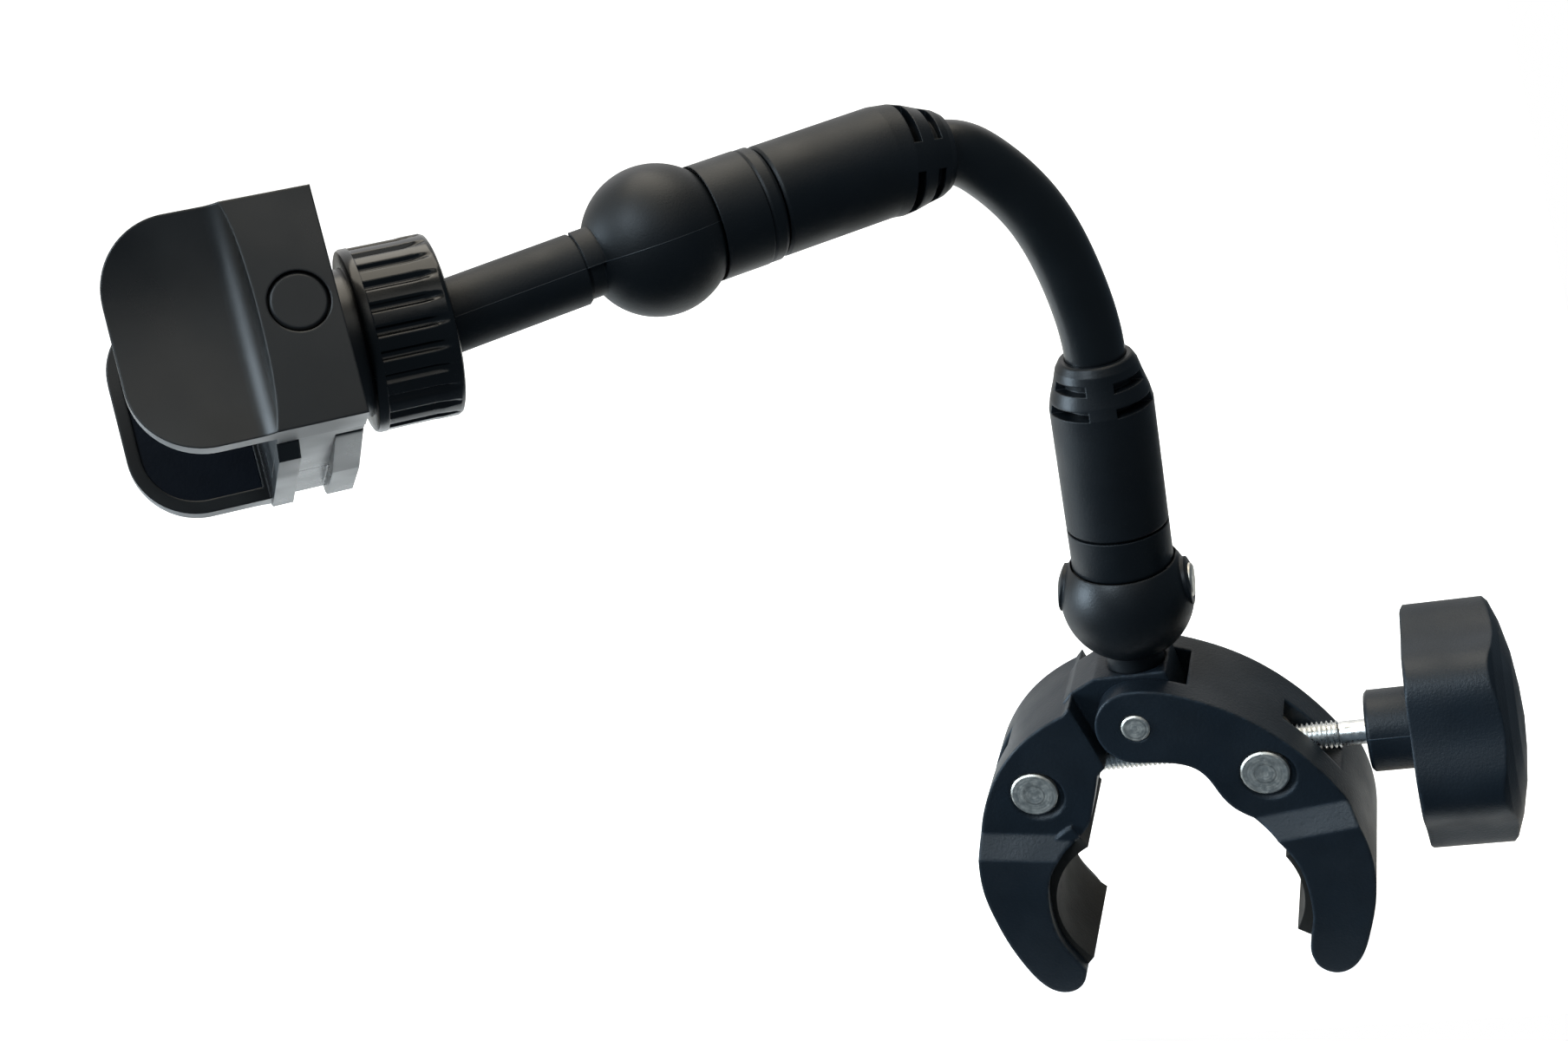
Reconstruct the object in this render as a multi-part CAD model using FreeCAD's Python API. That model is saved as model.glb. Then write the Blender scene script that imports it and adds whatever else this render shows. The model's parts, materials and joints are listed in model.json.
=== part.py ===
import FreeCAD
import Part
import math
import os

V = FreeCAD.Vector

# All sizes are in millimetres. The row frame has its origin on the axis of the gripped bar,
# X along the clamp screw towards the knob, Y along the bar and Z up towards the arm.

# Bar clamp
BAR_R = 17.5
PAD_T = 2.8
PAD_HALF_W = 13.5
PAD_BED_T = 3.0
LEFT_PAD_DEG = (116.5, 226.0)
RIGHT_PAD_DEG = (-33.0, 30.0)
JAW_REACH = 80.0
STEP_BELOW_HINGE = 27.4
STEP_RISE = 4.5
JAW_HALF_W = 12.7
TIP_HALF_W = 16.5
BAR_BELOW_HINGE = 43.5
LEFT_SEAT_DEG = -100.0
RIGHT_SEAT_DEG = -76.6
EYE_R = 8.4
TONGUE_R = 9.0
TONGUE_HALF_W = 7.0
PIN_R = 3.0
BARREL_R = 5.0
BARREL_X = 24.3
BARREL_Z = -13.5
BARREL_HALF_W = 13.1
SLOT_HALF_W = 3.9
SCREW_R = 2.95
SHANK_R = 2.6
HUB_X = 45.0
HUB_R = 8.5
KNOB_X = 54.6
KNOB_R = 25.2
LOBES = 6
LOBE_DEPTH = 2.6
RUN = 0.06
FIT = 0.03
BALL_RUN = 0.05

# Arm
LOWER_BALL_R = 13.75
UPPER_BALL_R = 13.7
INNER_BALL_R = 10.8
BALL_ABOVE_HINGE = 24.78
NECK_R = 6.0
SEAT_Z = 9.4
LOWER_COLLAR_R = 10.4
UPPER_COLLAR_R = 10.75
COLLAR_GAP = 0.5
KNUCKLE_GAP = 0.35
KNUCKLE_FLOOR = 5.6
COLLAR_END = 7.2
TILT_FORWARD_DEG = 3.0
TILT_BACK_DEG = 12.0
EYE_TONGUE_R = 5.0
EYE_HALF_W = 4.0
PIVOT_R = 2.0
PIVOT_Z = 2.6
PIVOT_BOSS_R = 5.0
PIVOT_BOSS_H = 0.7
PIVOT_HEAD_R = 3.6
LOWER_COLLAR_TOP = 16.7
UPPER_COLLAR_TOP = 18.5
SPACER_T = 3.2
SLEEVE_R = 10.4
LOWER_SLEEVE_L = 36.7
UPPER_SLEEVE_L = 36.4
SPIGOT_R = 5.0
TUBE_R = 6.05
TUBE_BORE_R = 6.15
TIP_L = 12.9
SLOT_T = 1.9
SLOT_RIB = 5.4
SLOT_ROWS = (4.2, 9.0)
TIP_BEND_DEG = 9.0
NECK_SHARES = [(0.0483888, 0.2283781, 0.3444930), (0.2629635, 0.5223734, 0.6620170),
               (0.6110512, 0.7869691, 0.8888198)]
STEM_R = 6.55
STEM_L = 46.7
SMALL_BALL_R = 8.5
LINER_T = 1.0

# Phone clip, measured from the small ball: X to the far jaw, Y away from the arm, Z up
NUT_R = 16.0
NUT_FRONT = -4.6
NUT_BACK = 10.4
NUT_GROOVES = 24
GROOVE_R = 1.5
GROOVE_DEEP = 0.9
BOSS_R = 12.9
CLIP_BACK = 14.85
CLIP_DEEP = 35.3
SPINE_T = 14.3
CLIP_HALF_H = 19.0
NEAR_X = -31.9
FAR_X = 24.4
HOUSING_X0 = -22.8
PARTING_X = 5.6
SPINE_HALF_H = 18.7
RIB_H = 2.3
RAIL_X1 = 20.0
PAD_DEEP = 1.2
PAD_RIM = 2.3
PLUG_R = 4.7
PLUG_GAP = 0.3
CORE_Z = 0.8
ROD_R = 1.6
ROD_HEAD_R = 2.7
ROD_X1 = 22.0
SPRING_R = 3.1
SPRING_X0 = -19.5
SLIDE_GAP = 0.2
JAW_T = 5.2
FAR_JAW_LONGER = 1.45
FAR_JAW_DROP = 0.8
CORNER_R = 12.0
SCOOP_R = 86.0
SCOOP_DEEP = 3.0
SCOOP_BACK = 2.0

ARM_TURN_DEG = 38.5
ARM_ACROSS = 58.26
ARM_FORWARD = 47.93
ARM_RISE = 130.0
HINGE = V(-BAR_BELOW_HINGE * math.cos(math.radians(LEFT_SEAT_DEG)), 0,
          -BAR_BELOW_HINGE * math.sin(math.radians(LEFT_SEAT_DEG)))
LOWER_AXIS = V(0.075, -0.016, 0.997).normalize()
LOWER_BALL = HINGE + LOWER_AXIS * BALL_ABOVE_HINGE
UPPER_BALL = HINGE + V(-ARM_ACROSS, -ARM_FORWARD, ARM_RISE)
ARM_OUT = V(-math.cos(math.radians(ARM_TURN_DEG)), -math.sin(math.radians(ARM_TURN_DEG)), 0.022).normalize()
ARM_SIDE = V(-math.sin(math.radians(ARM_TURN_DEG)), math.cos(math.radians(ARM_TURN_DEG)), 0)
STEM_OUT = V(ARM_OUT.x, ARM_OUT.y, 0.004).normalize()
SMALL_BALL = UPPER_BALL + STEM_OUT * STEM_L
CLIP_OUT = V(-0.8182, -0.5592, 0.1315).normalize()
CLIP_UP = V(-0.1644, 0.4465, 0.8796)


def frame(origin, z_axis, x_axis):
    """Placement with its Z along z_axis and its X as near x_axis as that allows."""
    z = V(z_axis).normalize()
    y = z.cross(x_axis).normalize()
    x = y.cross(z)
    turn = FreeCAD.Matrix(x.x, y.x, z.x, origin.x, x.y, y.y, z.y, origin.y,
                          x.z, y.z, z.z, origin.z, 0, 0, 0, 1)
    return FreeCAD.Placement(turn)


CLAMP = FreeCAD.Placement(HINGE, FreeCAD.Rotation())
LOWER = frame(LOWER_BALL, LOWER_AXIS, V(1, 0, 0))
UPPER = frame(UPPER_BALL, ARM_OUT * -1, ARM_SIDE)
STEM = frame(UPPER_BALL, STEM_OUT, ARM_SIDE)
CLIP_X = CLIP_OUT.cross(CLIP_UP).normalize()
CLIP = frame(SMALL_BALL, CLIP_X.cross(CLIP_OUT), CLIP_X)


def cylinder(radius, start, end):
    way = end - start
    return Part.makeCylinder(radius, way.Length, start, way)


def box(x0, x1, y0, y1, z0, z1):
    return Part.makeBox(x1 - x0, y1 - y0, z1 - z0, V(x0, y0, z0))


def turned(points):
    """Solid of revolution about Z from (radius, height) points."""
    corners = [V(r, 0, z) for r, z in points]
    wire = Part.makePolygon(corners + corners[:1])
    return Part.Face(wire).revolve(V(), V(0, 0, 1), 360)


def along_y(edges, half_width):
    """Prism about Y = 0 from edges drawn in the XZ plane."""
    wire = Part.Wire(Part.__sortEdges__(edges))
    face = Part.Face(wire)
    face.translate(V(0, -half_width, 0))
    return face.extrude(V(0, 2 * half_width, 0))


def through(points):
    curve = Part.BSplineCurve()
    curve.interpolate([V(x, 0, z) for x, z in points])
    return curve.toShape()


def path(points):
    return [Part.makeLine(V(a[0], 0, a[1]), V(b[0], 0, b[1])) for a, b in zip(points, points[1:])]


def polygon_y(points, half_width):
    return along_y(path(points + points[:1]), half_width)


def on_circle(centre, radius, degrees):
    a = math.radians(degrees)
    return (centre[0] + radius * math.cos(a), centre[1] + radius * math.sin(a))


def arc(centre, radius, start, end):
    points = [on_circle(centre, radius, a) for a in (start, (start + end) / 2, end)]
    return Part.Arc(*[V(x, 0, z) for x, z in points]).toShape()


def sector(centre, inner, outer, start, end, half_width):
    a, b = on_circle(centre, inner, start), on_circle(centre, outer, start)
    c, d = on_circle(centre, outer, end), on_circle(centre, inner, end)
    edges = [arc(centre, inner, start, end), arc(centre, outer, start, end)]
    return along_y(edges + path([a, b]) + path([c, d]), half_width)


def bead(length, radius, place):
    """Screw or pin along Z with a small chamfer at both ends."""
    c = 0.35
    pin = turned([(0, -length / 2), (radius - c, -length / 2), (radius, c - length / 2),
                  (radius, length / 2 - c), (radius - c, length / 2), (0, length / 2)])
    pin.Placement = place
    return pin


PARTS = {}


def keep(name, shape, place):
    shape = shape.removeSplitter()
    shape.Placement = place.multiply(shape.Placement)
    PARTS[name] = shape


# Bar clamp, drawn about the hinge pin

SEAT_L = on_circle((0, 0), BAR_BELOW_HINGE, LEFT_SEAT_DEG)
SEAT_R = on_circle((0, 0), BAR_BELOW_HINGE, RIGHT_SEAT_DEG)
ALONG_Y = FreeCAD.Rotation(V(1, 0, 0), -90)
ALONG_X = FreeCAD.Rotation(V(0, 1, 0), 90)


def stepped(solid, side):
    """Narrows a jaw above its tip, with a sloped step on each face."""
    w, t = JAW_HALF_W, TIP_HALF_W
    far, low, high = JAW_REACH, -STEP_BELOW_HINGE, STEP_RISE - STEP_BELOW_HINGE
    outline = [(-t, -far), (t, -far), (t, low), (w, high), (w, far), (-w, far), (-w, high), (-t, low)]
    corners = [V(-far, y, z) for y, z in outline]
    envelope = Part.Face(Part.makePolygon(corners + corners[:1])).extrude(V(2 * far, 0, 0))
    envelope.rotate(V(30 * side, 0, -23), V(0, 1, 0), -7 * side)
    return solid.common(envelope)


def barrel_bore(jaw, x, fan):
    """Cross bore for a barrel, its countersinks and the fan-shaped slot for the screw."""
    jaw = jaw.cut(cylinder(BARREL_R + RUN, V(x, -30, BARREL_Z), V(x, 30, BARREL_Z)))
    for side in (-1, 1):
        start = V(x + 0.6, side * (JAW_HALF_W - 0.9), BARREL_Z - 0.6)
        rim = Part.makeCone(BARREL_R, BARREL_R + 1.1, 1.1, start, V(0, side, 0))
        jaw = jaw.cut(rim)
    return jaw.cut(polygon_y([(x + a, BARREL_Z + b) for a, b in fan], SLOT_HALF_W))


def pad_bed(seat, start, end):
    """Land that carries a pad where the jaw's own edge falls away from it."""
    return sector(seat, BAR_R + PAD_T, BAR_R + PAD_T + PAD_BED_T, start, end, PAD_HALF_W)


def pad_pocket(seat, start, end):
    return sector(seat, BAR_R / 2, BAR_R + PAD_T + FIT, start - 0.1, end + 0.1, PAD_HALF_W + 0.05)


left_outer = through([
    (-14.6, 4.6), (-19.6, 2.3), (-24.4, -0.8), (-29.1, -5.2), (-32.9, -10.3), (-35.9, -16.2), (-38.0, -22.5),
    (-39.2, -29.0), (-39.4, -35.5), (-38.5, -41.5), (-36.9, -48.0), (-34.4, -54.5), (-32.0, -58.8),
    (-30.0, -60.9), (-27.3, -62.0), (-24.2, -61.4), (-22.2, -59.4), (-21.4, -56.8)])
left_inner = through([
    (-21.4, -56.8), (-22.6, -54.1), (-24.9, -49.7), (-26.0, -44.3), (-25.8, -38.3), (-24.6, -33.2),
    (-22.6, -29.6), (-20.0, -26.9), (-17.3, -25.2), (-15.2, -23.4), (-14.0, -21.8), (-13.0, -19.2),
    (-11.8, -15.8), (-10.2, -10.6)])
left_edges = [left_outer, left_inner] + path([(-10.2, -10.6), (-8.2, -8.8), (-12.9, 6.4), (-14.6, 4.6)])
left_jaw = stepped(along_y(left_edges, TIP_HALF_W), -1)
tongue = cylinder(TONGUE_R, V(0, -TONGUE_HALF_W, 0), V(0, TONGUE_HALF_W, 0))
crown = [(-17.0, 2.4), (-13.2, 6.6), (-7.6, SEAT_Z), (7.4, SEAT_Z), (8.6, 2.5), (-4.0, -8.0), (-13.0, -9.0)]
tongue = tongue.fuse(polygon_y(crown, TONGUE_HALF_W))
left_jaw = left_jaw.fuse(tongue).fuse(pad_bed(SEAT_L, *LEFT_PAD_DEG))
left_fan = [(36, 7.8), (0, 3.6), (-16, 15.0), (-16, -6.0), (0, -3.6), (36, -18.0)]
left_jaw = barrel_bore(left_jaw, -BARREL_X, left_fan)
left_jaw = left_jaw.cut(cylinder(PIN_R + 0.03, V(0, -20, 0), V(0, 20, 0)))
left_jaw = left_jaw.cut(pad_pocket(SEAT_L, *LEFT_PAD_DEG))
spigot = cylinder(4.03, LOWER_AXIS * (SEAT_Z - 2.6), LOWER_AXIS * 20)
seat_face = cylinder(NECK_R + 0.4, LOWER_AXIS * (SEAT_Z - 0.5), LOWER_AXIS * 20)
keep("left_jaw", left_jaw.cut(spigot).cut(seat_face), CLAMP)

right_outer = through([
    (0, EYE_R), (6.2, 7.7), (12.2, 5.5), (18.0, 2.5), (23.6, -1.4), (28.8, -6.2), (33.6, -11.9),
    (38.0, -18.6),
    (41.2, -25.4), (42.7, -32.0), (42.9, -38.5), (41.8, -45.5), (39.8, -52.0), (36.9, -58.4), (34.4, -60.8),
    (31.8, -61.5), (29.2, -60.6), (27.4, -57.8)])
right_inner = through([
    (27.4, -57.8), (27.1, -54.9), (27.7, -52.0), (28.6, -48.4), (29.0, -44.0), (28.8, -39.0), (28.0, -34.6),
    (26.5, -30.9), (24.5, -27.7), (22.3, -25.6), (20.3, -24.1), (18.4, -22.8), (16.6, -21.2), (14.8, -18.6),
    (13.8, -16.4), (12.6, -13.7), (10.6, -11.2), (6.4, -9.3), (0, -EYE_R)])
right_edges = [right_outer, right_inner, arc((0, 0), EYE_R, 90, 270)]
right_jaw = stepped(along_y(right_edges, TIP_HALF_W), 1)
right_jaw = right_jaw.fuse(pad_bed(SEAT_R, *RIGHT_PAD_DEG))
right_jaw = right_jaw.cut(box(-20, 11.2, -TONGUE_HALF_W - 0.25, TONGUE_HALF_W + 0.25, -20, 20))
right_fan = [(-24, 6.0), (0, 3.6), (18, 18.5), (24, -8.0), (0, -3.6), (-24, -12.0)]
right_jaw = barrel_bore(right_jaw, BARREL_X, right_fan)
right_jaw = right_jaw.cut(cylinder(PIN_R + RUN, V(0, -20, 0), V(0, 20, 0)))
right_jaw = right_jaw.cut(pad_pocket(SEAT_R, *RIGHT_PAD_DEG))
keep("right_jaw", right_jaw, CLAMP)

keep("left_jaw_pad", sector(SEAT_L, BAR_R, BAR_R + PAD_T, *LEFT_PAD_DEG, PAD_HALF_W), CLAMP)
keep("right_jaw_pad", sector(SEAT_R, BAR_R, BAR_R + PAD_T, *RIGHT_PAD_DEG, PAD_HALF_W), CLAMP)
keep("hinge_pin", bead(2 * BARREL_HALF_W, PIN_R, FreeCAD.Placement(V(), ALONG_Y)), CLAMP)

for name, x, gap in (("left_barrel_nut", -BARREL_X, 0.05), ("right_barrel", BARREL_X, 0.25)):
    hole = SCREW_R + gap
    barrel = bead(2 * BARREL_HALF_W, BARREL_R, FreeCAD.Placement(V(x, 0, BARREL_Z), ALONG_Y))
    barrel = barrel.cut(cylinder(hole, V(x - 9, 0, BARREL_Z), V(x + 9, 0, BARREL_Z)))
    keep(name, barrel, CLAMP)

SCREW = FreeCAD.Placement(V(0, 0, BARREL_Z), ALONG_X)
screw = turned([(0, -33), (SCREW_R - 0.6, -33), (SCREW_R, -32.4), (SCREW_R, 39.6), (SHANK_R, 40.2),
                (SHANK_R, 60.0), (4.4, 60.0), (4.4, 64.0), (0, 64.0)])
screw.Placement = SCREW
keep("clamp_screw", screw, CLAMP)
bush = turned([(SHANK_R + RUN, HUB_X), (5.2, HUB_X), (5.2, HUB_X + 2), (SHANK_R + RUN, HUB_X + 2)])
bush.Placement = SCREW
keep("thrust_bush", bush, CLAMP)

lobe_points = []
for i in range(LOBES * 6):
    a = 2 * math.pi * i / (LOBES * 6)
    r = KNOB_R - LOBE_DEPTH / 2 + LOBE_DEPTH / 2 * math.cos(LOBES * (a - math.radians(233)))
    lobe_points.append(V(r * math.sin(a), r * math.cos(a), KNOB_X))
lobed = Part.BSplineCurve()
lobed.interpolate(lobe_points, True)
grip = Part.Face(Part.Wire(lobed.toShape())).extrude(V(0, 0, 24))
dome = turned([(0, KNOB_X), (KNOB_R - 0.8, KNOB_X), (KNOB_R + 1, KNOB_X + 1.2), (KNOB_R + 1, KNOB_X + 15.2),
               (KNOB_R - 1.2, KNOB_X + 17.2), (KNOB_R - 5.5, KNOB_X + 18.8), (KNOB_R - 12, KNOB_X + 20.3),
               (KNOB_R - 19, KNOB_X + 21.1), (0, KNOB_X + 21.4)])
knob = grip.common(dome)
hub = turned([(0, HUB_X), (HUB_R - 0.6, HUB_X), (HUB_R, HUB_X + 0.6), (HUB_R, KNOB_X + 1), (0, KNOB_X + 1)])
knob = knob.fuse(hub)
hollow = turned([(0, HUB_X - 1), (5.25, HUB_X - 1), (5.25, HUB_X + 2.03), (SHANK_R + 0.03, HUB_X + 2.03),
                 (SHANK_R + 0.03, 59.97), (4.43, 59.97), (4.43, 64.03), (0, 64.03)])
knob = knob.cut(hollow)
knob.Placement = SCREW
keep("clamp_knob", knob, CLAMP)

# Lower knuckle and the two swivelling sleeves

PIVOT = V(0, 0, PIVOT_Z)
boss_x = LOWER_BALL_R - 0.1
seat = SEAT_Z - BALL_ABOVE_HINGE
lower_ball = Part.makeSphere(LOWER_BALL_R).fuse(cylinder(NECK_R, V(0, 0, seat - 0.5), V()))
lower_ball = lower_ball.fuse(cylinder(4, V(0, 0, seat - 2.6), V()))
boss = cylinder(PIVOT_BOSS_R, V(-boss_x, 0, PIVOT_Z), V(boss_x, 0, PIVOT_Z))
lower_ball = lower_ball.fuse(boss.common(Part.makeSphere(LOWER_BALL_R + PIVOT_BOSS_H)))
for swing in (-TILT_BACK_DEG, 0, TILT_FORWARD_DEG):
    mouth = cylinder(LOWER_COLLAR_R + KNUCKLE_GAP, V(0, 0, KNUCKLE_FLOOR), V(0, 0, KNUCKLE_FLOOR + 30))
    mouth.rotate(PIVOT, V(1, 0, 0), swing)
    lower_ball = lower_ball.cut(mouth)
w = EYE_HALF_W + 0.15
lower_ball = lower_ball.cut(cylinder(EYE_TONGUE_R + KNUCKLE_GAP, V(-w, 0, PIVOT_Z), V(w, 0, PIVOT_Z)))
slot = EYE_TONGUE_R + 1.4
lower_ball = lower_ball.cut(box(-w, w, -slot, slot, PIVOT_Z, KNUCKLE_FLOOR + 3))
lower_ball = lower_ball.cut(cylinder(PIVOT_R + FIT, V(-20, 0, PIVOT_Z), V(20, 0, PIVOT_Z)))
head_x = boss_x - 1.5
lower_ball = lower_ball.cut(cylinder(PIVOT_HEAD_R + FIT, V(head_x, 0, PIVOT_Z), V(20, 0, PIVOT_Z)))
keep("lower_ball", lower_ball, LOWER)
pivot = turned([(0, -boss_x), (PIVOT_R - 0.3, -boss_x), (PIVOT_R, 0.3 - boss_x), (PIVOT_R, head_x + FIT),
                (PIVOT_HEAD_R, head_x + FIT), (PIVOT_HEAD_R, boss_x - 0.2),
                (PIVOT_HEAD_R - 0.5, boss_x + 0.2), (0, boss_x + 0.4)])
pivot.Placement = FreeCAD.Placement(PIVOT, ALONG_X)
keep("lower_pivot_pin", pivot, LOWER)


def collar_end(radius, start, top, shaft_top):
    """Short collar with a grooved spigot that turns in the sleeve."""
    pin = turned([(0, start), (radius - 0.9, start), (radius, start + 0.9), (radius, top), (SPIGOT_R, top),
                  (SPIGOT_R, shaft_top - 2.6), (4.4, shaft_top - 2.6), (4.4, shaft_top - 1.2),
                  (SPIGOT_R, shaft_top - 1.2), (SPIGOT_R, shaft_top), (0, shaft_top)])
    return pin


def swivel_ring(shaft_top):
    return turned([(4.43, shaft_top - 2.57), (7.6, shaft_top - 2.57), (7.6, shaft_top - 1.23),
                   (4.43, shaft_top - 1.23)])


def sleeve_body(start, length, bend_deg, slot_turn):
    """Bell-ended sleeve with two rows of strain-relief slots, drawn along Z."""
    z = start
    elbow = z + length - TIP_L
    body = turned([(SPIGOT_R + RUN, z), (SLEEVE_R - 0.4, z), (SLEEVE_R, z + 0.5), (SLEEVE_R, elbow + 3),
                   (TUBE_BORE_R, elbow + 3), (TUBE_BORE_R, z + 14.2), (8.4, z + 12.2), (8.4, z + 7.2),
                   (SPIGOT_R + RUN, z + 7.2)])
    tip = turned([(TUBE_BORE_R, elbow - 3), (SLEEVE_R, elbow - 3), (SLEEVE_R, elbow + 3), (9.9, elbow + 5.4),
                  (8.9, elbow + 8.6), (8.2, elbow + 11.2), (7.4, z + length - 0.3), (7.0, z + length),
                  (TUBE_BORE_R, z + length)])
    for row in SLOT_ROWS:
        low = z + length - row - SLOT_T / 2
        ring = turned([(7.0, low), (12, low), (12, low + SLOT_T), (7.0, low + SLOT_T)])
        for i in range(4):
            rib = box(0, 14, -SLOT_RIB / 2, SLOT_RIB / 2, low - 1, low + SLOT_T + 1)
            rib.rotate(V(), V(0, 0, 1), slot_turn + 45 + 90 * i)
            ring = ring.cut(rib)
        tip = tip.cut(ring)
    tip.rotate(V(0, 0, elbow), V(1, 0, 0), bend_deg)
    above = box(-20, 20, -20, 20, 0, 30)
    below = box(-20, 20, -20, 20, -30, 0)
    for half in (above, below):
        half.rotate(V(), V(1, 0, 0), bend_deg / 2)
        half.translate(V(0, 0, elbow))
    return body.cut(above).fuse(tip.cut(below))


lower_shaft = LOWER_COLLAR_TOP + 10.2
lower_collar = collar_end(LOWER_COLLAR_R, COLLAR_END, LOWER_COLLAR_TOP, lower_shaft)
eye = cylinder(EYE_TONGUE_R, V(-EYE_HALF_W, 0, PIVOT_Z), V(EYE_HALF_W, 0, PIVOT_Z))
eye = eye.fuse(box(-EYE_HALF_W, EYE_HALF_W, -EYE_TONGUE_R, EYE_TONGUE_R, PIVOT_Z, COLLAR_END + 1))
eye = eye.cut(cylinder(PIVOT_R + RUN, V(-20, 0, PIVOT_Z), V(20, 0, PIVOT_Z)))
keep("lower_collar", lower_collar.fuse(eye), LOWER)
keep("lower_swivel_ring", swivel_ring(lower_shaft), LOWER)
keep("lower_sleeve", sleeve_body(LOWER_COLLAR_TOP + 0.25, LOWER_SLEEVE_L, 0, -126), LOWER)

# Upper arm: sleeve, spacer, collar with its inner ball, and the hollow ball on the stem

upper_start = UPPER_COLLAR_TOP + SPACER_T + 0.4
upper_shaft = UPPER_COLLAR_TOP + SPACER_T + 10.2
keep("upper_sleeve", sleeve_body(upper_start, UPPER_SLEEVE_L, TIP_BEND_DEG, 35), UPPER)
inner_ball = Part.makeSphere(INNER_BALL_R).fuse(cylinder(4.5, V(), V(0, 0, UPPER_COLLAR_TOP - 1)))
upper_collar = collar_end(UPPER_COLLAR_R, 5, UPPER_COLLAR_TOP, upper_shaft)
upper_collar = upper_collar.cut(Part.makeSphere(UPPER_BALL_R + COLLAR_GAP))
keep("upper_collar", upper_collar.fuse(inner_ball), UPPER)
low, high, r = UPPER_COLLAR_TOP + 0.02, UPPER_COLLAR_TOP + SPACER_T, UPPER_COLLAR_R
spacer = turned([(SPIGOT_R + 0.04, low), (r - 0.5, low), (r - 0.1, low + 0.7), (r - 0.1, high - 0.7),
                 (r - 0.6, high), (SPIGOT_R + 0.04, high)])
keep("upper_spacer_ring", spacer, UPPER)
keep("upper_swivel_ring", swivel_ring(upper_shaft), UPPER)

upper_ball = Part.makeSphere(UPPER_BALL_R)
stem = turned([(0, 0), (5.9, 0), (5.9, 14.9), (STEM_R, 15.7), (STEM_R, STEM_L - 9.4), (5.0, STEM_L - 7.2),
               (5.0, STEM_L - 3), (0, STEM_L - 3)])
tab = cylinder(STEM_R + 0.25, V(0, 0, 12), V(0, 0, 15.4)).common(box(-9, 0, -9, -1.2, 11, 16))
upper_ball = upper_ball.fuse(stem).fuse(tab).fuse(Part.makeSphere(SMALL_BALL_R, V(0, 0, STEM_L)))
mouth = Part.makeCone(0, 24 * math.tan(math.radians(44)), 24, V(), V(0, 0, -1))
upper_ball = upper_ball.cut(Part.makeSphere(INNER_BALL_R + BALL_RUN)).cut(mouth)
keep("upper_ball_stem", upper_ball, STEM)

# Flexible neck: straight inside both sleeves and bent between them

lower_end = LOWER_COLLAR_TOP + 0.25 + LOWER_SLEEVE_L
enter = LOWER.multVec(V(0, 0, lower_end - 20))
leave = LOWER.multVec(V(0, 0, lower_end))
elbow = upper_start + UPPER_SLEEVE_L - TIP_L
tilt = math.radians(TIP_BEND_DEG)


def in_tip(distance):
    return UPPER.multVec(V(0, -math.sin(tilt) * distance, elbow + math.cos(tilt) * distance))


def crook_point(out, side, up):
    """A point of the bend, given in shares of the way from the lower sleeve to the upper one."""
    flat = V(ARM_OUT.x, ARM_OUT.y, 0).normalize()
    way = in_tip(TIP_L) - leave
    return leave + flat * (out * way.dot(flat)) + ARM_SIDE * (side * way.dot(ARM_SIDE)) + V(0, 0, up * way.z)


end_way = (in_tip(3) - in_tip(13)).normalize()
bend = Part.BSplineCurve()
crook = [crook_point(*share) for share in NECK_SHARES]
bend.interpolate([leave] + crook + [in_tip(TIP_L)],
                 InitialTangent=LOWER_AXIS * 18, FinalTangent=end_way * 14)
route = Part.Wire([Part.makeLine(enter, leave), bend.toShape(), Part.makeLine(in_tip(TIP_L), in_tip(3))])
ring = Part.Wire(Part.makeCircle(TUBE_R, enter, LOWER_AXIS))
keep("gooseneck_sheath", route.makePipeShell([ring], True, False), FreeCAD.Placement())

# Phone clip, drawn about the small ball with Y away from the arm

TO_Y = FreeCAD.Placement(V(), ALONG_Y)
liner_r = SMALL_BALL_R + LINER_T + 0.05
liner = Part.makeSphere(liner_r).cut(Part.makeSphere(SMALL_BALL_R + 0.05))
keep("ball_liner", liner.common(box(-20, 20, -2.8, 7.0, -20, 20)), CLIP)

nut = turned([(8.95, -3.5), (9.5, NUT_FRONT), (NUT_R - 1.2, NUT_FRONT), (NUT_R, NUT_FRONT + 1.2),
              (NUT_R, NUT_BACK - 1.9), (NUT_R + 0.4, NUT_BACK - 1.6), (NUT_R + 0.4, NUT_BACK - 0.5),
              (NUT_R - 0.2, NUT_BACK), (BOSS_R + 0.1, NUT_BACK), (BOSS_R + 0.1, 0.6), (8.6, 0.6),
              (8.6, -3.5)])
nut.Placement = TO_Y
nut = nut.cut(Part.makeSphere(liner_r + 0.05))
for i in range(NUT_GROOVES):
    a = 2 * math.pi * (i + 0.3) / NUT_GROOVES
    way = V(math.cos(a), 0, math.sin(a))
    shallow = way * (NUT_R + GROOVE_R - 0.1) + V(0, NUT_FRONT + 1.4, 0)
    deep = way * (NUT_R + GROOVE_R - GROOVE_DEEP) + V(0, NUT_BACK - 1.9, 0)
    nut = nut.cut(cylinder(GROOVE_R, shallow, deep))
keep("lock_nut", nut, CLIP)

SPINE_Y = CLIP_BACK + SPINE_T
TIP_Y = CLIP_BACK + CLIP_DEEP
CORE_Y = CLIP_BACK + 6.2


def rails(x0, x1, grow):
    pair = []
    for z in (-13.0, 7.0):
        pair.append(box(x0, x1, 18.9 - grow, 24.9 + grow, z - grow, z + 6 + grow))
    return pair[0].fuse(pair[1])


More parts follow.
